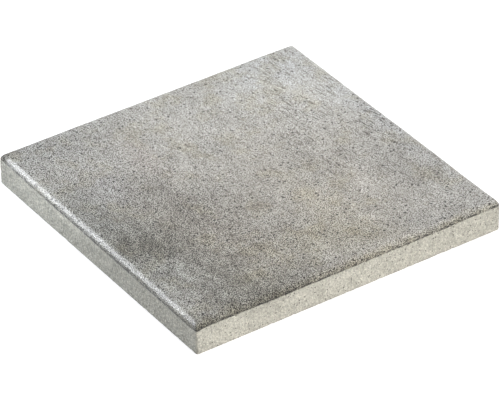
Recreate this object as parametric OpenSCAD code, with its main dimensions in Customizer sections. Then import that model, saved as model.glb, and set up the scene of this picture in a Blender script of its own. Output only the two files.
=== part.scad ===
// Square concrete paving slab, cast in one piece.
// Millimetres, +Z up. The origin is the middle of the bedding face, which lies on the ground.

/* [Slab] */
// Width of the slab, along X
slab_w = 400; // [200:10:600]
// Length of the slab, along Y
slab_l = 400; // [200:10:600]
// Thickness, from the bedding face up to the wearing face
slab_t = 40; // [30:1:80]

/* [Edges] */
// Radius of the round that leads from the wearing face into the sides
edge_round_r = 8; // [3:0.5:12]
// Radius of the four upright corners
corner_r = 3; // [1:0.5:10]
// Radius of the eased edges around the bedding face
foot_ease_r = 1.5; // [0.5:0.5:4]

/* [Hidden] */
$fn = 96;

// How far a shape runs past the surface that it trims
overrun = 1;

// Grey of the wearing face
face_colour = [0.67, 0.66, 0.63];

// Outline of the slab from above, with its upright corners rounded
module plan_outline() {
    corner_x = slab_w / 2 - corner_r;
    corner_y = slab_l / 2 - corner_r;
    square([slab_w, 2 * corner_y], center = true);
    square([2 * corner_x, slab_l], center = true);
    for (x_side = [-1, 1], y_side = [-1, 1])
        translate([x_side * corner_x, y_side * corner_y])
            circle(r = corner_r);
}

// Upright section through the slab: a broad round at the top edges, a small one at the foot
module cast_section(span) {
    round_x = span / 2 - edge_round_r;
    round_y = slab_t - edge_round_r;
    ease_x = span / 2 - foot_ease_r;
    translate([-span / 2, foot_ease_r])
        square([span, round_y - foot_ease_r]);
    translate([-round_x, foot_ease_r])
        square([2 * round_x, slab_t - foot_ease_r]);
    translate([-ease_x, 0])
        square([2 * ease_x, round_y]);
    for (side = [-1, 1]) {
        translate([side * round_x, round_y])
            circle(r = edge_round_r);
        translate([side * ease_x, foot_ease_r])
            circle(r = foot_ease_r);
    }
}

// The casting: what the outline and the two upright sections have in common
module slab() {
    color(face_colour)
        intersection() {
            translate([0, 0, -overrun])
                linear_extrude(height = slab_t + 2 * overrun)
                    plan_outline();
            rotate([90, 0, 0])
                linear_extrude(height = slab_l + 2 * overrun, center = true)
                    cast_section(slab_w);
            rotate([90, 0, 90])
                linear_extrude(height = slab_w + 2 * overrun, center = true)
                    cast_section(slab_l);
        }
}

slab();
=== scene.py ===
"""One concrete paving slab in plain studio light.

The slab is a single casting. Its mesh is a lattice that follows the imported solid, with the grain,
pits, grooves and small chips of the cast surface pressed into it. One finish runs from the mottled
grey wearing face over the rounded edges to the paler raw sides and the bedding face.
"""

import logging
import math
from collections.abc import Sequence
from dataclasses import dataclass, field, fields
from enum import Enum

import bpy
import numpy as np
from mathutils import Matrix, Vector


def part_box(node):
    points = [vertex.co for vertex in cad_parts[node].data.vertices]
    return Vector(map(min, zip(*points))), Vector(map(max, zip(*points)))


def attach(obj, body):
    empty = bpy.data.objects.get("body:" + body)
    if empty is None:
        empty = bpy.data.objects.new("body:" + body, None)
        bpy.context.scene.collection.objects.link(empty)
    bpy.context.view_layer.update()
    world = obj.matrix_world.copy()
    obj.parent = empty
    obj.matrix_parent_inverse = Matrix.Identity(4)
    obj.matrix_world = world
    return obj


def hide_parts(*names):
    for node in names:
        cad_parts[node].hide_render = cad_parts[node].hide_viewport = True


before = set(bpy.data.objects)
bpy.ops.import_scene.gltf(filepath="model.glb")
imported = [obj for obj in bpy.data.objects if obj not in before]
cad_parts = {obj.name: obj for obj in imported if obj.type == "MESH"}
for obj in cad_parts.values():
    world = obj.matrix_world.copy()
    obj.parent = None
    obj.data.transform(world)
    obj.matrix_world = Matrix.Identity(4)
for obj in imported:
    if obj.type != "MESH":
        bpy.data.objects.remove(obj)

LOG = logging.getLogger("paving_slab")
MM = 0.001
QUARTER_TURN = math.pi / 2

Colour = tuple[float, float, float]
Feed = float | Sequence[float] | bpy.types.NodeSocket

WHITE: Colour = (1.0, 1.0, 1.0)
# Factors that keep a place's X and Y and drop its height
IN_PLAN = (1.0, 1.0, 0.0)
# Mean level of a noise pattern
NOISE_MEAN = 0.5
# The screen's tone curve: a straight foot, and a power above it
SCREEN_LEVELS = 255
SCREEN_FOOT = 0.04045
SCREEN_FOOT_SLOPE = 12.92
SCREEN_OFFSET = 0.055
SCREEN_POWER = 2.4


def paint(red: int, green: int, blue: int) -> Colour:
    """Turn a colour as it is seen on a screen into the linear one that shaders use.

    Args:
        red: Red, 0 to 255.
        green: Green, 0 to 255.
        blue: Blue, 0 to 255.

    Returns:
        The linear colour, each part 0 to 1.
    """
    linear = []
    for level in (red, green, blue):
        share = level / SCREEN_LEVELS
        if share <= SCREEN_FOOT:
            linear.append(share / SCREEN_FOOT_SLOPE)
        else:
            linear.append(((share + SCREEN_OFFSET) / (1 + SCREEN_OFFSET)) ** SCREEN_POWER)
    return tuple(linear)


class NodeGraph:
    """Short calls that add nodes to one shader or geometry tree and link them."""

    def __init__(self, tree: bpy.types.NodeTree) -> None:
        """Keep the tree that the calls add to."""
        self.tree = tree

    def add(self, kind: str, **settings: object) -> bpy.types.Node:
        """Add one node.

        Args:
            kind: Blender's name of the node type.
            **settings: Properties of the node, by name.

        Returns:
            The new node.
        """
        node = self.tree.nodes.new(kind)
        for name, value in settings.items():
            setattr(node, name, value)
        return node

    def feed(self, socket: bpy.types.NodeSocket, value: Feed) -> None:
        """Link a socket to another one, or set its own value.

        Args:
            socket: The input to fill.
            value: An output to link from, or a plain value.
        """
        if isinstance(value, bpy.types.NodeSocket):
            self.tree.links.new(value, socket)
        else:
            socket.default_value = value

    def math(self, operation: str, first: Feed, second: Feed = 0.0) -> bpy.types.NodeSocket:
        """Work out one number from two.

        Args:
            operation: Blender's name of the operation.
            first: First number.
            second: Second number.

        Returns:
            The result's socket.
        """
        node = self.add("ShaderNodeMath", operation=operation)
        self.feed(node.inputs[0], first)
        self.feed(node.inputs[1], second)
        return node.outputs["Value"]

    def total(self, *values: Feed) -> bpy.types.NodeSocket:
        """Add up numbers.

        Args:
            *values: The numbers.

        Returns:
            Their sum's socket.
        """
        result = values[0]
        for value in values[1:]:
            result = self.math("ADD", result, value)
        return result

    def product(self, *values: Feed) -> bpy.types.NodeSocket:
        """Multiply numbers.

        Args:
            *values: The numbers.

        Returns:
            Their product's socket.
        """
        result = values[0]
        for value in values[1:]:
            result = self.math("MULTIPLY", result, value)
        return result

    def vector(self, operation: str, first: Feed, second: Feed) -> bpy.types.NodeSocket:
        """Work out one vector from two.

        Args:
            operation: Blender's name of the operation.
            first: First vector.
            second: Second vector, or the factor of SCALE.

        Returns:
            The result's socket.
        """
        node = self.add("ShaderNodeVectorMath", operation=operation)
        self.feed(node.inputs[0], first)
        self.feed(node.inputs["Scale"] if operation == "SCALE" else node.inputs[1], second)
        return node.outputs["Vector"]

    def length(self, vector: Feed) -> bpy.types.NodeSocket:
        """Give a vector's length.

        Args:
            vector: The vector.

        Returns:
            The length's socket.
        """
        node = self.add("ShaderNodeVectorMath", operation="LENGTH")
        self.feed(node.inputs[0], vector)
        return node.outputs["Value"]

    def parts(self, vector: Feed) -> tuple[bpy.types.NodeSocket, ...]:
        """Split a vector.

        Args:
            vector: The vector.

        Returns:
            Its X, Y and Z sockets.
        """
        node = self.add("ShaderNodeSeparateXYZ")
        self.feed(node.inputs[0], vector)
        return tuple(node.outputs)

    def joined(self, x: Feed, y: Feed, z: Feed) -> bpy.types.NodeSocket:
        """Make a vector of three numbers.

        Args:
            x: First number.
            y: Second number.
            z: Third number.

        Returns:
            The vector's socket.
        """
        node = self.add("ShaderNodeCombineXYZ")
        for socket, value in zip(node.inputs, (x, y, z)):
            self.feed(socket, value)
        return node.outputs[0]

    def noise(self, where: Feed, size: Feed, detail: float, rough: float, seed: Feed,
              as_vector: bool = False) -> bpy.types.NodeSocket:
        """Add a noise pattern.

        Args:
            where: Place that it is read at.
            size: Size of its largest lumps, in the units of the place.
            detail: Number of finer octaves.
            rough: Strength of each octave as a share of the one before.
            seed: Number that picks the pattern.
            as_vector: Give three patterns as a vector in place of one number.

        Returns:
            The pattern's socket, about 0 to 1.
        """
        node = self.add("ShaderNodeTexNoise", noise_dimensions="4D")
        plain = not isinstance(size, bpy.types.NodeSocket)
        self.feed(node.inputs["Vector"], where)
        self.feed(node.inputs["W"], seed)
        self.feed(node.inputs["Scale"], 1 / size if plain else self.math("DIVIDE", 1.0, size))
        self.feed(node.inputs["Detail"], detail)
        self.feed(node.inputs["Roughness"], rough)
        return node.outputs["Color" if as_vector else "Fac"]

    def cells(self, where: Feed, size: float,
              scatter: float = 1.0) -> tuple[bpy.types.NodeSocket, bpy.types.NodeSocket]:
        """Add a pattern of cells.

        Args:
            where: Place that it is read at.
            size: Mean size of a cell, in the units of the place.
            scatter: How irregular the cells are, 0 to 1.

        Returns:
            Sockets of the distance from the cell's middle as a share of the size, and of the cell's
            own random number from 0 to 1.
        """
        node = self.add("ShaderNodeTexVoronoi", voronoi_dimensions="3D", feature="F1")
        self.feed(node.inputs["Vector"], where)
        self.feed(node.inputs["Scale"], 1 / size)
        self.feed(node.inputs["Randomness"], scatter)
        return node.outputs["Distance"], self.parts(node.outputs["Color"])[0]

    def remap(self, value: Feed, low: Feed, high: Feed, to_low: Feed,
              to_high: Feed) -> bpy.types.NodeSocket:
        """Ease a number from one range into another, and hold it at the ends.

        Args:
            value: The number.
            low: Where the change starts.
            high: Where the change ends.
            to_low: Result at the start.
            to_high: Result at the end.

        Returns:
            The result's socket.
        """
        node = self.add("ShaderNodeMapRange", interpolation_type="SMOOTHSTEP", clamp=True)
        for name, given in (("Value", value), ("From Min", low), ("From Max", high),
                            ("To Min", to_low), ("To Max", to_high)):
            self.feed(node.inputs[name], given)
        return node.outputs["Result"]

    def blend(self, share: Feed, first: Feed, second: Feed, mode: str = "MIX") -> bpy.types.NodeSocket:
        """Mix two colours.

        Args:
            share: Share of the second colour, 0 to 1.
            first: First colour.
            second: Second colour.
            mode: Blender's name of the way of mixing.

        Returns:
            The colour's socket.
        """
        node = self.add("ShaderNodeMix", data_type="RGBA", blend_type=mode)
        sockets = {socket.identifier: socket for socket in node.inputs}
        for name, value in (("Factor_Float", share), ("A_Color", first), ("B_Color", second)):
            is_colour = name != "Factor_Float" and not isinstance(value, bpy.types.NodeSocket)
            self.feed(sockets[name], (*value, 1.0) if is_colour else value)
        return next(s for s in node.outputs if s.identifier == "Result_Color")

    def shade(self, colour: Feed, tone: bpy.types.NodeSocket) -> bpy.types.NodeSocket:
        """Multiply a colour by a number or by another colour."""
        return self.blend(1.0, colour, tone, "MULTIPLY")

    def lightness(self, colour: bpy.types.NodeSocket) -> bpy.types.NodeSocket:
        """Give a colour's lightness.

        Args:
            colour: The colour.

        Returns:
            The lightness's socket.
        """
        node = self.add("ShaderNodeRGBToBW")
        self.feed(node.inputs[0], colour)
        return node.outputs[0]


class Tint(Enum):
    """Hue of a cloud on the wearing face, as shares of red, green and blue."""

    NEUTRAL = (1.0, 1.0, 1.0)
    BROWN = (1.01, 1.0, 0.96)
    BEIGE = (1.03, 1.0, 0.96)
    COOL = (0.99, 1.0, 1.01)
    OLIVE = (0.982, 1.0, 0.98)
    ROSE = (1.035, 1.0, 0.99)
    UMBER = (1.025, 1.0, 0.96)
    YELLOW = (1.01, 1.0, 0.962)
    BLUE = (0.997, 1.0, 1.045)
    COLD = (0.98, 1.0, 1.04)


@dataclass(frozen=True)
class Cloud:
    """One soft cloud: a lighter, darker or tinted patch, or a zone where something else shows.

    Attributes:
        name: What it is or where it lies, in plain words.
        centre: Its middle in mm, along X and Y on the face, or along a side and up from the face.
        reach: Half its size along its own length and across it, in mm.
        turn: Angle from the first of those directions to its length, in degrees.
        tone: Lightness at its middle as a share of the surface's own.
        tint: Its hue.
    """

    name: str
    centre: tuple[float, float]
    reach: tuple[float, float]
    turn: float
    tone: float
    tint: Tint = Tint.NEUTRAL

    @property
    def colour(self) -> Colour:
        """Colour that the surface is multiplied by at the cloud's middle."""
        return tuple(self.tone * share for share in self.tint.value)

    def share(self, graph: NodeGraph, plan: Feed) -> bpy.types.NodeSocket:
        """Tell how much of the cloud a place has.

        Args:
            graph: The material's graph.
            plan: The place in the cloud's two directions, in mm, with no third part.

        Returns:
            Socket that is 1 at the cloud's middle and 0 past its reach.
        """
        place = graph.add("ShaderNodeMapping", vector_type="TEXTURE", label=self.name)
        graph.feed(place.inputs["Vector"], plan)
        graph.feed(place.inputs["Location"], (*self.centre, 0.0))
        graph.feed(place.inputs["Rotation"], (0.0, 0.0, math.radians(self.turn)))
        graph.feed(place.inputs["Scale"], (*self.reach, 1.0))
        return graph.remap(graph.length(place.outputs["Vector"]), 0.0, 1.0, 1.0, 0.0)


@dataclass(frozen=True)
class Layer:
    """One layer of lighter and darker patches or grains in a colour.

    Attributes:
        size: Size of its largest lumps, in mm.
        detail: Number of finer octaves.
        span: Noise levels between which it turns from dark to light.
        tones: Lightness at both ends of that span, as shares of the colour.
        seed: Number that picks its pattern.
        stretch: How many times longer its lumps are along Y.
        lean: How far long lumps lean towards -X for each mm along Y, in mm.
        rough: Strength of each octave as a share of the one before.
    """

    size: float
    detail: float
    span: tuple[float, float]
    tones: tuple[float, float]
    seed: float
    stretch: float = 1.0
    lean: float = 0.0
    rough: float = 0.55

    def noise(self, graph: NodeGraph, where: Feed) -> bpy.types.NodeSocket:
        """Give the layer's noise at a place.

        Args:
            graph: The material's graph.
            where: The place, in mm.

        Returns:
            The noise's socket, about 0 to 1.
        """
        if self.stretch != 1.0:
            x, y, z = graph.parts(where)
            upright = graph.total(x, graph.product(y, self.lean))
            where = graph.joined(upright, graph.product(y, 1 / self.stretch), z)
        return graph.noise(where, self.size, self.detail, self.rough, self.seed)

    def tone(self, graph: NodeGraph, where: Feed) -> bpy.types.NodeSocket:
        """Give the lightness at a place, as a share of the colour."""
        return graph.remap(self.noise(graph, where), *self.span, *self.tones)


@dataclass(frozen=True)
class Pinholes:
    """Small round dark holes, scattered over a surface.

    Attributes:
        spacing: Size of the cells that hold one hole each, in mm.
        radius: Radius of the widest holes, in mm.
        soft: Share of the radius over which a hole fades out.
        tone: Lightness in a hole, as a share of the colour.
    """

    spacing: float
    radius: float
    soft: float
    tone: float

    def depth(self, graph: NodeGraph, where: Feed) -> bpy.types.NodeSocket:
        """Tell how deep in a hole a place lies.

        Args:
            graph: The material's graph.
            where: The place, in mm.

        Returns:
            Socket that is 1 in a hole and 0 outside.
        """
        distance, own = graph.cells(where, self.spacing)
        rim = graph.product(own, self.radius / self.spacing)
        return graph.remap(distance, graph.product(rim, 1 - self.soft), rim, 1.0, 0.0)


@dataclass(frozen=True)
class Sand:
    """Grains of sand, each with a tone of its own.

    Attributes:
        size: Mean size of a grain, in mm.
        tones: Lightness of the darkest and the lightest grains, as shares of the colour.
        joints: Lightness at a grain's middle and between the grains.
        stretch: How many times longer the grains lie along Y.
        scatter: How irregularly they lie, 0 to 1.
        body: Distances from a grain's middle between which its lightness changes, as shares of the size.
    """

    size: float
    tones: tuple[float, float]
    joints: tuple[float, float]
    stretch: float = 1.0
    scatter: float = 1.0
    body: tuple[float, float] = (0.15, 0.8)

    def cells(self, graph: NodeGraph, where: Feed) -> tuple[bpy.types.NodeSocket, bpy.types.NodeSocket]:
        """Give the distance from a grain's middle and its own number at a place."""
        stretched = graph.vector("MULTIPLY", where, (1.0, 1 / self.stretch, 1.0))
        return graph.cells(stretched, self.size, self.scatter)

    def tone(self, graph: NodeGraph, where: Feed) -> bpy.types.NodeSocket:
        """Give the lightness of the grain at a place.

        Args:
            graph: The material's graph.
            where: The place, in mm.

        Returns:
            Socket of the lightness, as a share of the colour.
        """
        distance, own = self.cells(graph, where)
        own_tone = graph.remap(own, 0.0, 1.0, *self.tones)
        return graph.product(own_tone, graph.remap(distance, *self.body, *self.joints))

    def height(self, graph: NodeGraph, where: Feed) -> bpy.types.NodeSocket:
        """Give the height of the domed grain at a place, at most 0."""
        return graph.product(self.cells(graph, where)[0], -1.0)


FACE_CLOUDS = (
    Cloud("left half", (-175, -45), (305, 250), 140, 0.66),
    # Partly painted sheen: the back right half is lightened and cooled both by its own tone and by a
    # painted sheen towards the back right.
    Cloud("back right half and painted sheen", (135, 100), (325, 290), 90, 1.18, Tint.COOL),
    Cloud("left heart", (-160, -50), (70, 60), 145, 0.65, Tint.BROWN),
    Cloud("left edge", (-180, 20), (185, 30), 90, 0.75),
    Cloud("front left edge", (-110, -200), (125, 60), 5, 0.64, Tint.BROWN),
    Cloud("front left rim", (-105, -205), (180, 20), 0, 0.70, Tint.BROWN),
    Cloud("front left tip", (-205, -205), (45, 45), 0, 0.55, Tint.BROWN),
    Cloud("left of the middle", (-90, 0), (45, 95), 10, 0.74),
    Cloud("front left", (-125, -150), (105, 65), 85, 0.79, Tint.BROWN),
    Cloud("front middle", (15, -160), (135, 40), -25, 0.92, Tint.BROWN),
    Cloud("right of the middle", (70, -15), (85, 40), 75, 0.86),
    Cloud("front right", (150, -75), (50, 100), 10, 0.84),
    Cloud("back left corner", (-155, 180), (140, 75), -5, 0.75, Tint.COOL),
    Cloud("back left tip", (-200, 200), (35, 20), -20, 0.62, Tint.BROWN),
    Cloud("back left patch", (-130, 90), (45, 40), 0, 0.94),
    Cloud("back light", (-15, 130), (40, 40), 0, 1.10),
    Cloud("middle light", (-80, 20), (110, 30), 45, 1.17),
    Cloud("front light", (30, -85), (30, 40), -30, 1.10),
    # Partly painted sheen: this lighter, cooler patch at the back right is partly its own tone and partly
    # a painted sheen.
    Cloud("right light and painted sheen", (155, 120), (125, 100), -55, 1.21, Tint.COOL),
    Cloud("front right edge", (130, -200), (120, 20), 5, 0.90, Tint.COOL),
    Cloud("dark heart", (-155, -50), (35, 25), -20, 0.76, Tint.UMBER),
    Cloud("darker spot behind the middle", (0, 70), (30, 30), 0, 0.85),
    Cloud("darker spot left of the middle", (-75, 55), (25, 25), 0, 0.87),
    Cloud("darker spot at the middle", (-50, -5), (20, 20), 0, 0.87),
    Cloud("darker spot at the front", (100, -175), (30, 25), 0, 0.84),
    Cloud("lighter spot on the right", (100, -80), (25, 35), 0, 1.15),
    Cloud("warm middle", (20, -60), (230, 250), 0, 1.00, Tint.BEIGE),
    Cloud("warm left", (-100, -50), (80, 190), 10, 1.00, Tint.BEIGE),
    Cloud("brown front", (10, -150), (120, 80), 0, 1.00, Tint.BROWN),
    Cloud("olive left", (-195, -30), (240, 120), 90, 1.00, Tint.OLIVE),
    Cloud("rosy back left", (-75, 95), (30, 85), 0, 1.00, Tint.ROSE),
    Cloud("umber left edge", (-180, -40), (30, 60), 0, 1.00, Tint.UMBER),
    Cloud("yellow middle", (35, -85), (35, 100), 0, 1.00, Tint.YELLOW),
    Cloud("yellow front left", (-100, -170), (60, 40), 0, 1.00, Tint.YELLOW),
    Cloud("blue left", (-140, 70), (40, 85), 0, 1.00, Tint.BLUE),
    Cloud("cold back right", (150, 170), (100, 65), 0, 1.00, Tint.COLD),
    Cloud("cold right edge", (190, 0), (35, 210), 0, 1.00, Tint.COLD),
)


@dataclass(frozen=True)
class Relief:
    """How the cast surface falls back from the smooth solid, in mm.

    Attributes:
        grain_size: Size of the sand grains.
        grain_depth: Depth between grains.
        pit_size: Size of the pits.
        pit_depth: Depth of a pit.
        pit_level: Noise level under which a pit opens.
        swell_size: Size of the broad unevenness of the wearing face.
        swell_depth: Depth of that unevenness.
        groove_width: Width of the fine grooves along the length.
        groove_length: Length of those grooves.
        groove_depth: Their depth.
        chip_size: Size of the chips along the lower edges.
        chip_depth: Their depth.
        chip_reach: How far up the sides they reach.
        side_share: Depth of the grain on the raw sides as a share of that on the face.
        seed: Number that picks all the patterns.
    """

    grain_size: float = 2.6
    grain_depth: float = 0.3
    pit_size: float = 2.4
    pit_depth: float = 0.35
    pit_level: float = 0.36
    swell_size: float = 70.0
    swell_depth: float = 0.6
    groove_width: float = 2.4
    groove_length: float = 16.0
    groove_depth: float = 0.3
    chip_size: float = 7.0
    chip_depth: float = 0.5
    chip_reach: float = 3.5
    side_share: float = 0.6
    seed: float = 4.0


class Pattern(Enum):
    """One noise pattern of the relief: its size's input, its octaves and its step from the seed."""

    GRAIN = ("grain_size", 2.0, 0.6, 0.0)
    PITS = ("pit_size", 1.0, 0.5, 4.0)
    SWELL = ("swell_size", 2.0, 0.5, 8.0)
    GROOVES = ("groove_width", 1.0, 0.5, 9.0)
    CHIPS = ("chip_size", 2.0, 0.5, 10.0)

    def __init__(self, size_input: str, detail: float, rough: float, seed_step: float) -> None:
        """Name the parts of the pattern's value.

        Args:
            size_input: Name of the relief's size that it takes.
            detail: Number of finer octaves.
            rough: Strength of each octave as a share of the one before.
            seed_step: How far its own seed lies from the relief's.
        """
        self.size_input = size_input
        self.detail = detail
        self.rough = rough
        self.seed_step = seed_step

    def read(self, graph: NodeGraph, given: bpy.types.bpy_prop_collection,
             where: Feed) -> bpy.types.NodeSocket:
        """Add the pattern to the relief tree.

        Args:
            graph: The relief tree's graph.
            given: The tree's named inputs.
            where: Place that it is read at, in mm.

        Returns:
            The pattern's socket, about 0 to 1.
        """
        seed = graph.total(given["seed"], self.seed_step)
        return graph.noise(where, given[self.size_input], self.detail, self.rough, seed)


@dataclass(frozen=True)
class CoatLine:
    """The wavy line on the sides where the face's grey ends, in mm.

    Attributes:
        drop: Mean distance of the line below the wearing face.
        left_tilt: How much lower it is at the front end of the left side than at that side's middle.
        front_rise: How much higher it is at the middle and at the ends of the front side.
        front_span: Distances from the middle between which that rise changes.
        side_turn: Distance from a side over which that side's tilt or rise ends.
        wave_size: Length of its waves.
        wave_height: Height of its waves.
        wave_detail: Number of finer octaves in them.
        wave_rough: Strength of each octave as a share of the one before.
        wave_seed: Number that picks their pattern.
        fade: Half width of the change of colour.
        rim: Width of the dark rim just above it.
        rim_tones: Lightness of that rim as a share of the grey, which breaks it into dashes.
        dull_width: Width of the duller band just above the line.
        dull_gloss: Gloss at the line as a share of that of the rounded edges.
    """

    drop: float = 9.0
    left_tilt: float = 1.4
    front_rise: tuple[float, float] = (0.2, 1.0)
    front_span: tuple[float, float] = (105.0, 165.0)
    side_turn: float = 15.0
    wave_size: float = 7.0
    wave_height: float = 1.9
    wave_detail: float = 2.0
    wave_rough: float = 0.5
    wave_seed: float = 5.0
    fade: float = 0.7
    rim: float = 3.6
    rim_tones: Layer = Layer(4.5, 1.0, (0.43, 0.57), (0.0, 1.0), 21.0)
    dull_width: float = 2.6
    dull_gloss: float = 0.45


@dataclass(frozen=True)
class FaceFinish:
    """The grey of the wearing face and its rounded edges.

    Attributes:
        colour: Mean colour.
        clouds: Lighter and darker clouds. The lighter ones at the back right are partly the face's own
            tone and partly a painted sheen.
        drift_size: Size of the waves that fray the clouds, in mm.
        drift: How far they carry a cloud's edge, in mm.
        drift_detail: Number of finer octaves in them.
        drift_rough: Strength of each octave as a share of the one before.
        drift_seed: Number that picks their pattern.
        stain: Brownish patches.
        stain_tint: Hue of those patches.
        layers: Patches and grains.
        grain: The grains that also roughen the surface.
        sand: The finer grains that also roughen the surface.
        dashes: Fine dark dashes along the length.
        dash_patches: The patches that the dashes gather in.
        dash_zone: Where those patches show most.
        mottle: Darker patches of the shaded half.
        mottle_zone: Where those patches show most.
        holes: Dark pinholes.
        sand_shear: How far the sheet of sand moves on along X and Y for each mm down an edge, in mm.
        dark_grain: How much more the grain shows in dark places, as a power of the darkness.
        tone_floor: Least lightness that the grain leaves.
        hue_span: Lightness of the grain between which its hue changes.
        dark_hue: Colour that the dark grains are multiplied by.
        light_hue: Colour that the light grains are multiplied by.
        edge: Colour that the face is multiplied by at the foot of the rounded edges.
        edge_depth: Depth over which the edges darken, in mm.
        roughness: Roughness of the wearing face.
        edge_roughness: Roughness of the rounded edges.
        edge_turn: Depths below the face between which the edges' roughness passes into the face's, in mm.
        dull_corner: Corner where the edges have lost their gloss.
        dull_span: Shares of that corner between which the gloss goes.
    """

    colour: Colour = paint(175, 173, 169)
    clouds: tuple[Cloud, ...] = FACE_CLOUDS
    drift_size: float = 50.0
    drift: float = 24.0
    drift_detail: float = 5.0
    drift_rough: float = 0.7
    drift_seed: float = 2.0
    stain: Layer = Layer(26.0, 3.0, (0.48, 0.66), (0.0, 1.0), 2.5)
    stain_tint: Colour = (0.95, 0.93, 0.86)
    layers: tuple[Layer, ...] = (
        Layer(20.0, 4.0, (0.3, 0.7), (0.92, 1.08), 7.0, stretch=1.5),
        Layer(1.0, 1.0, (0.3, 0.7), (0.82, 1.18), 7.5, stretch=9.0, lean=0.12),
    )
    grain: Layer = Layer(2.2, 1.0, (0.25, 0.65), (0.96, 1.03), 4.0)
    sand: Sand = Sand(1.05, (1.0, 1.0), (1.71, 0.22), 1.7, 0.9)
    dashes: Layer = Layer(1.5, 1.0, (0.36, 0.46), (0.18, 1.0), 13.0, stretch=7.0, lean=0.12)
    dash_patches: Layer = Layer(34.0, 2.0, (0.40, 0.56), (0.0, 1.0), 9.0)
    dash_zone: Cloud = Cloud("right", (170, 50), (240, 300), 0, 1.0)
    mottle: Layer = Layer(11.0, 4.0, (0.35, 0.65), (0.82, 1.12), 17.0, stretch=1.6)
    mottle_zone: Cloud = Cloud("front left", (-150, -120), (330, 250), 0, 1.0)
    holes: Pinholes = Pinholes(4.8, 1.58, 0.25, 0.0)
    sand_shear: float = 0.7
    dark_grain: float = 0.75
    tone_floor: float = 0.08
    hue_span: tuple[float, float] = (0.4, 1.6)
    dark_hue: Colour = (1.045, 1.0, 0.945)
    light_hue: Colour = (0.967, 1.0, 1.033)
    edge: Colour = (0.73, 0.71, 0.65)
    edge_depth: float = 6.0
    roughness: float = 0.55
    edge_roughness: float = 0.28
    edge_turn: tuple[float, float] = (1.5, 0.2)
    dull_corner: Cloud = Cloud("back left corner", (-200, 200), (26, 26), 0, 1.0)
    dull_span: tuple[float, float] = (0.2, 0.6)

    def build(self, graph: NodeGraph, where: Feed, top: float) -> bpy.types.NodeSocket:
        """Colour the face: clouds, stains, patches, grains, dashes, holes and the darker edges.

        Args:
            graph: The material's graph.
            where: The place, in mm.
            top: Height of the wearing face, in mm.

        Returns:
            The colour's socket.
        """
        drifted = self.frayed_plan(graph, where)
        colour = self.colour
        for cloud in self.clouds:
            colour = graph.blend(cloud.share(graph, drifted), colour, cloud.colour, "MULTIPLY")
        colour = graph.blend(self.stain.tone(graph, where), colour, self.stain_tint, "MULTIPLY")
        edge = graph.remap(graph.parts(where)[2], top - self.edge_depth, top, 1.0, 0.0)
        colour = graph.blend(edge, colour, self.edge, "MULTIPLY")
        dash_patch = self.dash_patches.tone(graph, where)
        dashed = graph.product(self.dash_zone.share(graph, drifted), dash_patch)
        dash = graph.blend(dashed, WHITE, self.dashes.tone(graph, where))
        mottled = self.mottle_zone.share(graph, drifted)
        mottle = graph.blend(mottled, WHITE, self.mottle.tone(graph, where))
        hole = graph.remap(self.holes.depth(graph, where), 0.0, 1.0, 1.0, self.holes.tone)
        grains = [layer.tone(graph, where) for layer in (*self.layers, self.grain)]
        sand = self.sand.tone(graph, self.sheet(graph, where, top))
        return self.speckle(graph, colour, graph.product(hole, dash, mottle, sand, *grains))

    def frayed_plan(self, graph: NodeGraph, where: Feed) -> bpy.types.NodeSocket:
        """Shift a place in plan by the waves that fray the clouds.

        Args:
            graph: The material's graph.
            where: The place, in mm.

        Returns:
            Socket of the shifted place in plan, in mm.
        """
        plan = graph.vector("MULTIPLY", where, IN_PLAN)
        waves = graph.noise(plan, self.drift_size, self.drift_detail, self.drift_rough, self.drift_seed,
                            as_vector=True)
        shift = graph.vector("SCALE", graph.vector("SUBTRACT", waves, (NOISE_MEAN,) * 3), self.drift)
        return graph.vector("MULTIPLY", graph.vector("ADD", plan, shift), IN_PLAN)

    def sheet(self, graph: NodeGraph, where: Feed, top: float) -> bpy.types.NodeSocket:
        """Find a place in the sheet of sand that lies on the face and runs on over its edges.

        Args:
            graph: The material's graph.
            where: The place, in mm.
            top: Height of the wearing face, in mm.

        Returns:
            Socket of the place in the sheet, in mm.
        """
        x, y, z = graph.parts(where)
        moved = graph.product(graph.math("SUBTRACT", z, top), self.sand_shear)
        return graph.joined(graph.total(x, moved), graph.total(y, moved), self.sand.size / 2)

    def speckle(self, graph: NodeGraph, colour: bpy.types.NodeSocket,
                tone: bpy.types.NodeSocket) -> bpy.types.NodeSocket:
        """Shade a colour by the grain, more strongly where the colour is dark.

        Args:
            graph: The material's graph.
            colour: The colour without its grain.
            tone: The grain's lightness as a share of the colour.

        Returns:
            The colour's socket.
        """
        darkness = graph.math("DIVIDE", self.colour[1], graph.lightness(colour))
        strength = graph.math("POWER", darkness, self.dark_grain)
        change = graph.product(graph.math("SUBTRACT", tone, 1.0), strength)
        shaded = graph.shade(colour, graph.math("MAXIMUM", graph.total(change, 1.0), self.tone_floor))
        hue = graph.blend(graph.remap(tone, *self.hue_span, 0.0, 1.0), self.dark_hue, self.light_hue)
        return graph.shade(shaded, hue)


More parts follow.
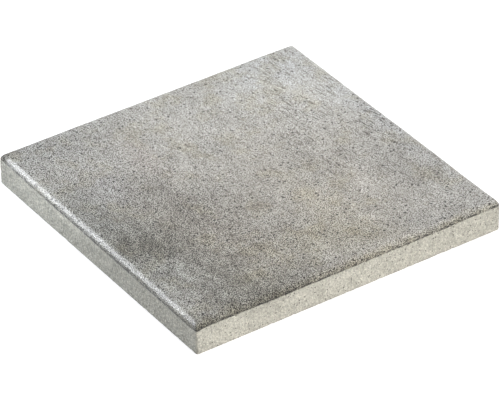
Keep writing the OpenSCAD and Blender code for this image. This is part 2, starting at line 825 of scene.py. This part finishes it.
@dataclass(frozen=True)
class RawFinish:
    """The raw concrete of the sides and the bedding face.

    Attributes:
        colour: Mean colour.
        layers: Patches and grains.
        sand: Its sand.
        holes: Dark pinholes.
        dent_size: Size of the small dents that roughen its surface, in mm.
        dent_detail: Number of finer octaves in them.
        dent_rough: Strength of each octave as a share of the one before.
        dent_seed: Number that picks their pattern.
        left_marks: Marks on the left side, placed along Y and up from the wearing face.
        front_marks: Marks on the front side, placed along X and up from the wearing face.
        mark_span: Places across a side between which its marks end round the corners, in mm.
        roughness: Roughness of its surface.
    """

    colour: Colour = paint(195, 192, 182)
    layers: tuple[Layer, ...] = (
        Layer(10.0, 4.0, (0.3, 0.7), (0.90, 1.10), 6.0, stretch=1.6),
        Layer(2.4, 1.0, (0.25, 0.7), (0.88, 1.09), 4.0, stretch=2.0),
    )
    sand: Sand = Sand(1.5, (0.92, 1.08), (1.17, 0.80), 1.8)
    holes: Pinholes = Pinholes(3.4, 1.15, 0.3, 0.3)
    dent_size: float = 3.4
    dent_detail: float = 1.0
    dent_rough: float = 0.55
    dent_seed: float = 4.0
    left_marks: tuple[Cloud, ...] = (
        Cloud("pale streak under the line", (48, -12), (75, 7.5), 0, 1.33),
        Cloud("pale patch", (112, -18), (75, 25), 0, 1.15),
        Cloud("darker back end", (194, -19), (32, 20), 0, 0.84),
        Cloud("darker middle", (-50, -16), (80, 9), 0, 0.89),
    )
    front_marks: tuple[Cloud, ...] = (
        Cloud("darker strip under the line", (-98, -12), (70, 7), 0, 0.86),
        Cloud("pale middle", (15, -17), (85, 11), 0, 1.08),
        Cloud("darker right end", (198, -20), (34, 34), 0, 0.88),
    )
    mark_span: tuple[float, float] = (-198.0, -190.0)
    roughness: float = 0.9

    def build(self, graph: NodeGraph, where: Feed, top: float) -> bpy.types.NodeSocket:
        """Colour the raw concrete: marks, patches, grains and pinholes.

        Args:
            graph: The material's graph.
            where: The place, in mm.
            top: Height of the wearing face, in mm.

        Returns:
            The colour's socket.
        """
        x, y, z = graph.parts(where)
        height = graph.math("SUBTRACT", z, top)
        colour = self.colour
        for marks, along, across in ((self.left_marks, y, x), (self.front_marks, x, y)):
            place = graph.joined(along, height, 0.0)
            on_side = graph.remap(across, *self.mark_span, 1.0, 0.0)
            for mark in marks:
                share = graph.product(mark.share(graph, place), on_side)
                colour = graph.blend(share, colour, mark.colour, "MULTIPLY")
        hole = graph.remap(self.holes.depth(graph, where), 0.0, 1.0, 1.0, self.holes.tone)
        grains = [layer.tone(graph, where) for layer in (*self.layers, self.sand)]
        return graph.shade(colour, graph.product(hole, *grains))

    def dents(self, graph: NodeGraph, where: Feed) -> bpy.types.NodeSocket:
        """Give the height of the small dents at a place, about 0 to 1."""
        return graph.noise(where, self.dent_size, self.dent_detail, self.dent_rough, self.dent_seed)


@dataclass(frozen=True)
class SlabFinish:
    """The slab's one material.

    Attributes:
        top: Height of the wearing face, in mm.
        half: Half the slab's width, in mm.
        face: Finish of the wearing face.
        raw: Finish of the sides and the bedding face.
        line: Where the one ends and the other starts.
        grain_bump: Height of the grains that roughen the surface, in mm.
        sand_bump: Height of the finer grains, in mm.
        hole_bump: Depth of the pinholes, in mm.
        raw_bump: Height of the dents of the raw sides, in mm.
    """

    top: float
    half: float
    face: FaceFinish = FaceFinish()
    raw: RawFinish = RawFinish()
    line: CoatLine = CoatLine()
    grain_bump: float = 0.35
    sand_bump: float = 0.3
    hole_bump: float = 0.4
    raw_bump: float = 2.4

    def build(self) -> bpy.types.Material:
        """Make the material.

        Returns:
            The new material.
        """
        material = bpy.data.materials.new("cast_concrete")
        material.use_nodes = True
        material.node_tree.nodes.clear()
        graph = NodeGraph(material.node_tree)
        where = graph.vector("SCALE", graph.add("ShaderNodeTexCoord").outputs["Object"], 1 / MM)
        above = self.above_line(graph, where)
        coat = graph.remap(above, -self.line.fade, self.line.fade, 0.0, 1.0)
        rim = graph.remap(above, 0.0, self.line.rim, self.line.rim_tones.tone(graph, where), 1.0)
        face_colour = graph.shade(self.face.build(graph, where, self.top), rim)
        colour = graph.blend(coat, self.raw.build(graph, where, self.top), face_colour)
        dulled = graph.remap(above, 0.0, self.line.dull_width, self.line.dull_gloss, 1.0)
        shader = graph.add("ShaderNodeBsdfPrincipled")
        graph.feed(shader.inputs["Base Color"], colour)
        graph.feed(shader.inputs["Roughness"], self.roughness(graph, where, graph.product(coat, dulled)))
        graph.feed(shader.inputs["Normal"], self.bump(graph, where, coat))
        output = graph.add("ShaderNodeOutputMaterial")
        graph.feed(output.inputs["Surface"], shader.outputs["BSDF"])
        return material

    def above_line(self, graph: NodeGraph, where: Feed) -> bpy.types.NodeSocket:
        """Work out how far a place lies above the line where the grey ends.

        Args:
            graph: The material's graph.
            where: The place, in mm.

        Returns:
            The height above the line in mm.
        """
        line = self.line
        x, y, z = graph.parts(where)
        side = (-self.half, line.side_turn - self.half)
        wave = graph.noise(where, line.wave_size, line.wave_detail, line.wave_rough, line.wave_seed)
        rise = graph.remap(graph.math("ABSOLUTE", x), *line.front_span, *line.front_rise)
        return graph.total(
            z,
            graph.product(graph.math("SUBTRACT", wave, NOISE_MEAN), line.wave_height),
            graph.product(y, graph.remap(x, *side, -line.left_tilt / self.half, 0.0)),
            graph.product(rise, graph.remap(y, *side, -1.0, 0.0)),
            line.drop - self.top,
        )

    def roughness(self, graph: NodeGraph, where: Feed, gloss: Feed) -> bpy.types.NodeSocket:
        """Work out the roughness: the face's, the glossier edges' and the matt sides'.

        Args:
            graph: The material's graph.
            where: The place, in mm.
            gloss: Share of the grey's own gloss there, 0 to 1.

        Returns:
            The roughness's socket.
        """
        face, bare = self.face, self.raw.roughness
        corner = face.dull_corner.share(graph, graph.vector("MULTIPLY", where, IN_PLAN))
        worn = graph.remap(corner, *face.dull_span, face.edge_roughness, bare)
        low, high = (self.top - depth for depth in face.edge_turn)
        turned = graph.remap(graph.parts(where)[2], low, high, worn, face.roughness)
        return graph.total(graph.product(gloss, graph.math("SUBTRACT", turned, bare)), bare)

    def bump(self, graph: NodeGraph, where: Feed, coat: Feed) -> bpy.types.NodeSocket:
        """Roughen the surface with the grains and holes that are finer than the mesh.

        Args:
            graph: The material's graph.
            where: The place, in mm.
            coat: Share of the grey there, 0 to 1.

        Returns:
            The normal's socket.
        """
        bump = graph.add("ShaderNodeBump")
        bare = graph.math("SUBTRACT", 1.0, coat)
        sheet = self.face.sheet(graph, where, self.top)
        height = graph.total(
            graph.product(self.face.grain.noise(graph, where), self.grain_bump),
            graph.product(self.face.sand.height(graph, sheet), self.sand_bump),
            graph.product(self.face.holes.depth(graph, where), -self.hole_bump),
            graph.product(self.raw.dents(graph, where), bare, self.raw_bump),
        )
        graph.feed(bump.inputs["Distance"], MM)
        graph.feed(bump.inputs["Strength"], 1.0)
        graph.feed(bump.inputs["Height"], height)
        return bump.outputs["Normal"]


@dataclass
class PavingSlab:
    """The casting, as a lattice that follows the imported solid.

    Attributes:
        low: Lowest corner of the solid, in metres.
        high: Highest corner of the solid, in metres.
        edge_round: Radius of the round along the top edges, in metres.
        corner_round: Radius of the upright corners, in metres.
        face_corner_round: Radius of the wearing face's corners, inside the round, in metres.
        foot_ease: Radius of the lower edges, in metres.
        face_cells: Lattice cells along one side of the wearing face.
        bed_cells: Lattice cells along one side of the bedding face.
        round_steps: Steps over the round.
        side_steps: Steps down a side.
        foot_steps: Steps round a lower edge.
        corner_fade: Share of the half width over which the corners' bend fades inwards.
        relief: The pressed-in relief.
        line_fade: How far below and above the line the face's relief fades, in mm.
        bed_facing: Upward parts of the normal between which the bedding face's relief fades.
        pit_fade: Range of noise levels over which a pit gets deep.
        swell_span: Noise levels between which the broad unevenness gets deep.
        groove_span: Noise levels between which a groove gets shallow.
        chip_span: Noise levels between which a chip gets deep.
        chip_band: Distances from the sides between which the chips start, in mm.
    """

    low: Vector
    high: Vector
    edge_round: float = 8 * MM
    corner_round: float = 3 * MM
    face_corner_round: float = 5 * MM
    foot_ease: float = 1.5 * MM
    face_cells: int = 240
    bed_cells: int = 60
    round_steps: int = 9
    side_steps: int = 16
    foot_steps: int = 3
    corner_fade: float = 0.1
    relief: Relief = field(default_factory=Relief)
    line_fade: tuple[float, float] = (1.0, 2.0)
    bed_facing: tuple[float, float] = (-0.9, -0.5)
    pit_fade: float = 0.08
    swell_span: tuple[float, float] = (0.25, 0.75)
    groove_span: tuple[float, float] = (0.3, 0.42)
    chip_span: tuple[float, float] = (0.56, 0.66)
    chip_band: tuple[float, float] = (6.0, 2.0)

    @property
    def half(self) -> float:
        """Half the slab's width, in mm."""
        return (self.high.x - self.low.x) / 2 / MM

    def bent_plan(self, shares: np.ndarray, inset: float, corner: float) -> np.ndarray:
        """Place plan points in a square whose outer rings bend round its corners.

        Args:
            shares: Points of a square from -1 to 1 each way, one a row.
            inset: How far the square stands back from the solid's sides, in metres.
            corner: Radius of its corners, in metres.

        Returns:
            The points in metres, one a row.
        """
        middle = np.array((self.low + self.high)[:2]) / 2
        half = np.array((self.high - self.low)[:2]) / 2 - inset
        ring = np.abs(shares).max(axis=1, keepdims=True)
        bend = corner * np.clip((ring - 1) / self.corner_fade + 1, 0, 1)
        points = shares * half
        straight = np.clip(points, bend - ring * half, ring * half - bend)
        outward = points - straight
        length = np.linalg.norm(outward, axis=1, keepdims=True)
        reach = np.divide(bend, length, out=np.ones_like(length), where=length > 0)
        return middle + straight + outward * reach

    @staticmethod
    def square_shares(cells: int) -> np.ndarray:
        """List the points of a square lattice from -1 to 1, row by row along X."""
        steps = np.linspace(-1, 1, cells + 1)
        return np.array([(x, y) for x in steps for y in steps])

    @staticmethod
    def border(cells: int) -> list[int]:
        """List a lattice's border, anticlockwise from the front left.

        Args:
            cells: Cells along one side.

        Returns:
            The places of the border's points in square_shares.
        """
        rows = cells + 1
        front = [i * rows for i in range(cells)]
        right = [cells * rows + j for j in range(cells)]
        back = [i * rows + cells for i in range(cells, 0, -1)]
        left = list(range(cells, 0, -1))
        return front + right + back + left

    def levels(self) -> list[tuple[float, float, float]]:
        """List the rings down the sides, below the wearing face.

        Returns:
            For each ring its inset, its height and its corner radius, in metres.
        """
        found = []
        widening = self.face_corner_round - self.corner_round
        for step in range(1, self.round_steps + 1):
            turn = QUARTER_TURN * step / self.round_steps
            inset = self.edge_round * (1 - math.sin(turn))
            corner = self.corner_round + widening * inset / self.edge_round
            found.append((inset, self.high.z - self.edge_round * (1 - math.cos(turn)), corner))
        side_top = self.high.z - self.edge_round
        side_foot = self.low.z + self.foot_ease
        for step in range(1, self.side_steps + 1):
            height = side_top + (side_foot - side_top) * step / self.side_steps
            found.append((0.0, height, self.corner_round))
        for step in range(1, self.foot_steps + 1):
            turn = QUARTER_TURN * step / self.foot_steps
            inset = self.foot_ease * (1 - math.cos(turn))
            found.append((inset, side_foot - self.foot_ease * math.sin(turn), self.corner_round))
        return found

    def lattice(self) -> bpy.types.Mesh:
        """Build the smooth casting.

        Returns:
            A closed mesh of quads, with a few triangles round the bedding face.
        """
        face_shares = self.square_shares(self.face_cells)
        face_border = self.border(self.face_cells)
        ring_shares = face_shares[face_border]
        plan = self.bent_plan(face_shares, self.edge_round, self.face_corner_round)
        layers = [np.column_stack([plan, np.full(len(plan), self.high.z)])]
        faces = self.quads(self.face_cells, 0)
        upper = face_border
        count = len(plan)
        for inset, height, corner in self.levels():
            ring = self.bent_plan(ring_shares, inset, corner)
            layers.append(np.column_stack([ring, np.full(len(ring), height)]))
            lower = list(range(count, count + len(ring)))
            for here in range(len(ring)):
                after = (here + 1) % len(ring)
                faces.append((upper[here], lower[here], lower[after], upper[after]))
            upper = lower
            count += len(ring)
        bed_inset = self.foot_ease + (self.high.x - self.low.x) / (2 * self.bed_cells)
        bed = self.bent_plan(self.square_shares(self.bed_cells), bed_inset, self.corner_round)
        layers.append(np.column_stack([bed, np.full(len(bed), self.low.z)]))
        faces += [quad[::-1] for quad in self.quads(self.bed_cells, count)]
        faces += self.bed_fringe(upper, [count + place for place in self.border(self.bed_cells)])
        mesh = bpy.data.meshes.new("slab_lattice")
        mesh.from_pydata(np.vstack(layers).tolist(), [], faces)
        mesh.polygons.foreach_set("use_smooth", [True] * len(mesh.polygons))
        mesh.validate()
        return mesh

    @staticmethod
    def quads(cells: int, first: int) -> list[tuple[int, ...]]:
        """List a lattice's faces, seen anticlockwise from above.

        Args:
            cells: Cells along one side.
            first: Number of its first point in the mesh.

        Returns:
            The faces' points.
        """
        rows = cells + 1
        corners = [first + i * rows + j for i in range(cells) for j in range(cells)]
        return [(c, c + rows, c + rows + 1, c + 1) for c in corners]

    @staticmethod
    def bed_fringe(fine: list[int], coarse: list[int]) -> list[tuple[int, ...]]:
        """Join the fine ring of the lower edges to the coarser border of the bedding face.

        Args:
            fine: Points of the outer ring.
            coarse: Points of the inner ring.

        Returns:
            The triangles between them, facing down.
        """
        step = len(fine) // len(coarse)
        faces = []
        for place, start in enumerate(coarse):
            end = coarse[(place + 1) % len(coarse)]
            run = [fine[(place * step + k) % len(fine)] for k in range(step + 1)]
            turn = step // 2
            faces += [(start, run[k + 1], run[k]) for k in range(turn)]
            faces.append((start, end, run[turn]))
            faces += [(end, run[k + 1], run[k]) for k in range(turn, step)]
        return faces

    def relief_tree(self, line_height: float) -> bpy.types.NodeTree:
        """Build the tree that presses the cast surface into the lattice.

        Args:
            line_height: Height of the line where the raw sides start, in mm.

        Returns:
            A geometry tree with one named input for each size of the relief.
        """
        tree = bpy.data.node_groups.new("cast_surface", "GeometryNodeTree")
        interface = tree.interface
        interface.new_socket("Geometry", in_out="INPUT", socket_type="NodeSocketGeometry")
        interface.new_socket("Material", in_out="INPUT", socket_type="NodeSocketMaterial")
        for item in fields(Relief):
            socket = interface.new_socket(item.name, in_out="INPUT", socket_type="NodeSocketFloat")
            socket.default_value = item.default
        interface.new_socket("Geometry", in_out="OUTPUT", socket_type="NodeSocketGeometry")
        graph = NodeGraph(tree)
        given = graph.add("NodeGroupInput").outputs
        where = graph.vector("SCALE", graph.add("GeometryNodeInputPosition").outputs[0], 1 / MM)
        normal = graph.add("GeometryNodeInputNormal").outputs["Normal"]
        depth = self._depth(graph, given, where, normal, line_height)
        offset = graph.vector("SCALE", normal, graph.product(depth, -MM))
        pressed = graph.add("GeometryNodeSetPosition")
        graph.feed(pressed.inputs["Geometry"], given["Geometry"])
        graph.feed(pressed.inputs["Offset"], offset)
        realized = graph.add("GeometryNodeRealizeInstances")
        graph.feed(realized.inputs["Geometry"], pressed.outputs["Geometry"])
        coated = graph.add("GeometryNodeSetMaterial")
        graph.feed(coated.inputs["Geometry"], realized.outputs["Geometry"])
        graph.feed(coated.inputs["Material"], given["Material"])
        result = graph.add("NodeGroupOutput")
        graph.feed(result.inputs["Geometry"], coated.outputs["Geometry"])
        return tree

    def _depth(self, graph: NodeGraph, given: bpy.types.bpy_prop_collection, where: Feed, normal: Feed,
               line_height: float) -> bpy.types.NodeSocket:
        """Work out how deep the cast surface lies below the smooth solid.

        Args:
            graph: The relief tree's graph.
            given: The tree's named inputs.
            where: Place on the smooth solid, in mm.
            normal: Its outward normal.
            line_height: Height of the line where the raw sides start, in mm.

        Returns:
            The depth in mm.
        """
        x, y, z = graph.parts(where)
        faced = graph.remap(z, line_height - self.line_fade[0], line_height + self.line_fade[1], 0.0, 1.0)
        off_bed = graph.remap(graph.parts(normal)[2], *self.bed_facing, 0.0, 1.0)
        grain = Pattern.GRAIN.read(graph, given, where)
        pits = Pattern.PITS.read(graph, given, where)
        pit_start = graph.math("SUBTRACT", given["pit_level"], self.pit_fade)
        pit = graph.remap(pits, pit_start, given["pit_level"], 1.0, 0.0)
        swell = Pattern.SWELL.read(graph, given, where)
        stretch = graph.math("DIVIDE", given["groove_length"], given["groove_width"])
        along = graph.joined(x, graph.math("DIVIDE", y, stretch), z)
        groove = Pattern.GROOVES.read(graph, given, along)
        rim = graph.math("MAXIMUM", graph.math("ABSOLUTE", x), graph.math("ABSOLUTE", y))
        chips = Pattern.CHIPS.read(graph, given, where)
        grains = graph.total(
            graph.product(given["grain_depth"], graph.math("SUBTRACT", 1.0, grain)),
            graph.product(given["pit_depth"], pit),
        )
        broad = graph.total(
            graph.product(given["swell_depth"], graph.remap(swell, *self.swell_span, 0.0, 1.0)),
            graph.product(given["groove_depth"], graph.remap(groove, *self.groove_span, 1.0, 0.0)),
        )
        chipped = graph.product(
            given["chip_depth"],
            graph.remap(z, 0.0, given["chip_reach"], 1.0, 0.0),
            graph.remap(rim, *(self.half - inset for inset in self.chip_band), 0.0, 1.0),
            graph.remap(chips, *self.chip_span, 0.0, 1.0),
        )
        share = graph.remap(faced, 0.0, 1.0, given["side_share"], 1.0)
        return graph.total(graph.product(grains, share, off_bed), graph.product(broad, faced), chipped)

    def build(self, finish: SlabFinish) -> bpy.types.Object:
        """Build the slab with its relief and its finish.

        Args:
            finish: The slab's material.

        Returns:
            The slab's object, a plain mesh at the origin.
        """
        slab = bpy.data.objects.new("paving_slab", self.lattice())
        bpy.context.scene.collection.objects.link(slab)
        modifier = slab.modifiers.new("cast_surface", "NODES")
        modifier.node_group = self.relief_tree(finish.top - finish.line.drop)
        values = {item.name: getattr(self.relief, item.name) for item in fields(Relief)}
        values["Material"] = finish.build()
        for item in modifier.node_group.interface.items_tree:
            if item.in_out == "INPUT" and item.name in values:
                modifier[item.identifier] = values[item.name]
        solved = slab.evaluated_get(bpy.context.evaluated_depsgraph_get())
        mesh = bpy.data.meshes.new_from_object(solved)
        mesh.name = "paving_slab"
        slab.modifiers.clear()
        slab.data = mesh
        return slab

    def dress(self) -> bpy.types.Object:
        """Build the slab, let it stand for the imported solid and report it.

        Returns:
            The slab's object.
        """
        slab = self.build(SlabFinish(top=self.high.z / MM, half=self.half))
        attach(slab, "root")
        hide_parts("slab")
        LOG.info("%s: %d faces", slab.name, len(slab.data.polygons))
        return slab


class LampKind(Enum):
    """What a lamp is: a soft box near the slab, or a broad soft light from far off."""

    BOX = "AREA"
    FAR = "SUN"


class Lights(Enum):
    """What a lamp acts on: plain colours, mirrored light or both, as two switches."""

    ALL = (True, True)
    COLOURS = (True, False)
    GLOSS = (False, True)


@dataclass(frozen=True)
class Lamp:
    """One soft lamp that faces the slab.

    Attributes:
        name: Its name.
        kind: What it is.
        direction: Direction from the slab to it.
        level: Light on a surface that faces it at the slab's middle. At 1 a colour shows as written.
        colour: Its light's colour.
        size: Width and height of a box, in metres.
        distance: Distance of a box, in metres.
        spread: Angle that a far light covers, in degrees.
        lights: What it acts on.
    """

    name: str
    kind: LampKind
    direction: tuple[float, float, float]
    level: float
    colour: Colour = WHITE
    size: tuple[float, float] = (1.0, 1.0)
    distance: float = 1.0
    spread: float = 60.0
    lights: Lights = Lights.ALL

    def build(self) -> bpy.types.Object:
        """Make the lamp.

        Returns:
            The lamp's object.
        """
        light = bpy.data.lights.new(self.name, self.kind.value)
        light.color = self.colour
        if self.kind is LampKind.BOX:
            light.shape = "RECTANGLE"
            light.size, light.size_y = self.size
            light.energy = self.level * (math.pi * self.distance) ** 2
        else:
            light.angle = math.radians(self.spread)
            light.energy = self.level * math.pi
        lamp = bpy.data.objects.new(self.name, light)
        way = Vector(self.direction).normalized()
        lamp.location = way * self.distance
        lamp.rotation_euler = way.to_track_quat("Z", "Y").to_euler()
        lamp.visible_diffuse, lamp.visible_glossy = self.lights.value
        bpy.context.scene.collection.objects.link(lamp)
        return lamp


@dataclass(frozen=True)
class ViewPoint:
    """The camera, as fitted to the slab's outline.

    Attributes:
        azimuth: Angle round the slab from the front, in degrees.
        elevation: Angle above the floor, in degrees.
        roll: Turn about the line of sight, in degrees.
        distance: Distance from the slab's middle, in mm.
        shift_right: How far the camera stands to the right of the slab's middle, in mm.
        shift_up: How far it stands above that middle in the picture, in mm.
        focal_pixels: Focal length in pixels of the picture.
        picture_width: Width of the picture in pixels.
        sensor: Width of the sensor, in mm.
        sight: Nearest and farthest distance that it sees, in metres.
    """

    azimuth: float = -33.465
    elevation: float = 34.425
    roll: float = -1.234
    distance: float = 4404.8
    shift_right: float = 2.75
    shift_up: float = 6.30
    focal_pixels: float = 3961.7
    picture_width: int = 500
    sensor: float = 36.0
    sight: tuple[float, float] = (0.1, 100.0)

    def build(self) -> bpy.types.Object:
        """Make the camera and let the scene use it.

        Returns:
            The camera's object.
        """
        around, over = math.radians(self.azimuth), math.radians(self.elevation)
        level = math.cos(over)
        back = Vector((math.sin(around) * level, -math.cos(around) * level, math.sin(over)))
        right = Vector((math.cos(around), math.sin(around), 0.0))
        tilt = Matrix.Rotation(math.radians(self.roll), 3, back)
        right = tilt @ right
        up = back.cross(right)
        place = back * self.distance + right * self.shift_right + up * self.shift_up
        lens = bpy.data.cameras.new("camera")
        lens.sensor_width = self.sensor
        lens.lens = self.focal_pixels * self.sensor / self.picture_width
        lens.clip_start, lens.clip_end = self.sight
        camera = bpy.data.objects.new("camera", lens)
        turn = Matrix((right, up, back)).transposed().to_4x4()
        camera.matrix_world = Matrix.Translation(place * MM) @ turn
        bpy.context.scene.collection.objects.link(camera)
        bpy.context.scene.camera = camera
        return camera


@dataclass(frozen=True)
class Studio:
    """Floor, surrounding light, lamps and camera.

    Attributes:
        lamps: The soft lamps.
        view: The camera.
        floor_half: Half the floor's side, in metres.
        floor_gap: Half the side of the opening in the floor under the slab, in metres.
        floor_colour: The floor's colour.
        floor_glow: Light that the camera sees the floor give, so that it reads as white.
        sky_light: Light from all round.
    """

    lamps: tuple[Lamp, ...]
    view: ViewPoint = ViewPoint()
    floor_half: float = 20.0
    floor_gap: float = 0.196
    floor_colour: Colour = (0.62, 0.62, 0.62)
    floor_glow: float = 0.72
    sky_light: float = 0.21

    @staticmethod
    def seen_share(graph: NodeGraph) -> bpy.types.NodeSocket:
        """Tell rays that show a background from those that only carry light.

        Args:
            graph: Graph of the floor's or the world's nodes.

        Returns:
            Socket that is 1 for camera, glossy and transmission rays and otherwise 0.
        """
        rays = graph.add("ShaderNodeLightPath").outputs
        seen = graph.total(rays["Is Camera Ray"], rays["Is Glossy Ray"], rays["Is Transmission Ray"])
        return graph.math("MINIMUM", seen, 1.0)

    def floor_material(self) -> bpy.types.Material:
        """Make the floor's pale finish, which is white where it is seen and clear from below.

        Returns:
            The new material.
        """
        material = bpy.data.materials.new("floor")
        material.use_nodes = True
        material.node_tree.nodes.clear()
        graph = NodeGraph(material.node_tree)
        shader = graph.add("ShaderNodeBsdfPrincipled")
        graph.feed(shader.inputs["Base Color"], (*self.floor_colour, 1.0))
        graph.feed(shader.inputs["Roughness"], 1.0)
        graph.feed(shader.inputs["Specular IOR Level"], 0.0)
        graph.feed(shader.inputs["Emission Color"], (*WHITE, 1.0))
        glow = graph.product(self.seen_share(graph), self.floor_glow)
        graph.feed(shader.inputs["Emission Strength"], glow)
        sided = graph.add("ShaderNodeMixShader")
        graph.feed(sided.inputs[0], graph.add("ShaderNodeNewGeometry").outputs["Backfacing"])
        graph.feed(sided.inputs[1], shader.outputs["BSDF"])
        graph.feed(sided.inputs[2], graph.add("ShaderNodeBsdfTransparent").outputs["BSDF"])
        output = graph.add("ShaderNodeOutputMaterial")
        graph.feed(output.inputs["Surface"], sided.outputs["Shader"])
        return material

    def build_floor(self) -> bpy.types.Object:
        """Make the pale floor, which keeps the slab's shadow and is open under the slab.

        Returns:
            The floor's object.
        """
        signs = ((-1, -1), (1, -1), (1, 1), (-1, 1))
        sizes = (self.floor_half, self.floor_gap)
        corners = [(x * half, y * half, 0.0) for half in sizes for x, y in signs]
        faces = [(0, 1, 5, 4), (1, 2, 6, 5), (2, 3, 7, 6), (3, 0, 4, 7)]
        mesh = bpy.data.meshes.new("floor")
        mesh.from_pydata(corners, [], faces)
        mesh.materials.append(self.floor_material())
        floor = bpy.data.objects.new("floor", mesh)
        bpy.context.scene.collection.objects.link(floor)
        return floor

    def build_world(self) -> None:
        """Surround the slab with even light, white where it is seen."""
        world = bpy.data.worlds.new("studio")
        world.use_nodes = True
        world.node_tree.nodes.clear()
        graph = NodeGraph(world.node_tree)
        background = graph.add("ShaderNodeBackground")
        graph.feed(background.inputs["Color"], (*WHITE, 1.0))
        strength = graph.remap(self.seen_share(graph), 0.0, 1.0, self.sky_light, 1.0)
        graph.feed(background.inputs["Strength"], strength)
        output = graph.add("ShaderNodeOutputWorld")
        graph.feed(output.inputs["Surface"], background.outputs["Background"])
        bpy.context.scene.world = world

    def build(self) -> None:
        """Set up the camera, the floor and the light."""
        self.view.build()
        self.build_floor()
        self.build_world()
        for lamp in self.lamps:
            lamp.build()
            LOG.info("lamp %s: level %.2f", lamp.name, lamp.level)
        bpy.context.scene.view_settings.view_transform = "Standard"


LAMPS = (
    Lamp("rear_left_box", LampKind.BOX, (-0.65, 0.69, 0.32), 0.38, (0.83, 0.93, 1.0), size=(0.7, 0.6)),
    Lamp("edge_strip", LampKind.BOX, (-0.65, 0.69, 0.40), 1.85, (0.97, 0.975, 1.0),
         size=(1.04, 0.82), distance=1.3, lights=Lights.GLOSS),
    Lamp("front_fill", LampKind.FAR, (0.34, -0.92, 0.25), 0.94, (1.0, 0.985, 0.945),
         spread=45.0, lights=Lights.COLOURS),
    Lamp("top_fill", LampKind.FAR, (0.12, 0.12, 1.0), 0.52, spread=50.0, lights=Lights.COLOURS),
)


def main() -> None:
    """Build the studio and the slab."""
    logging.basicConfig(level=logging.INFO, format="%(name)s: %(message)s")
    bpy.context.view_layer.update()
    Studio(LAMPS).build()
    PavingSlab(*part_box("slab")).dress()


if __name__ == "__main__":
    main()
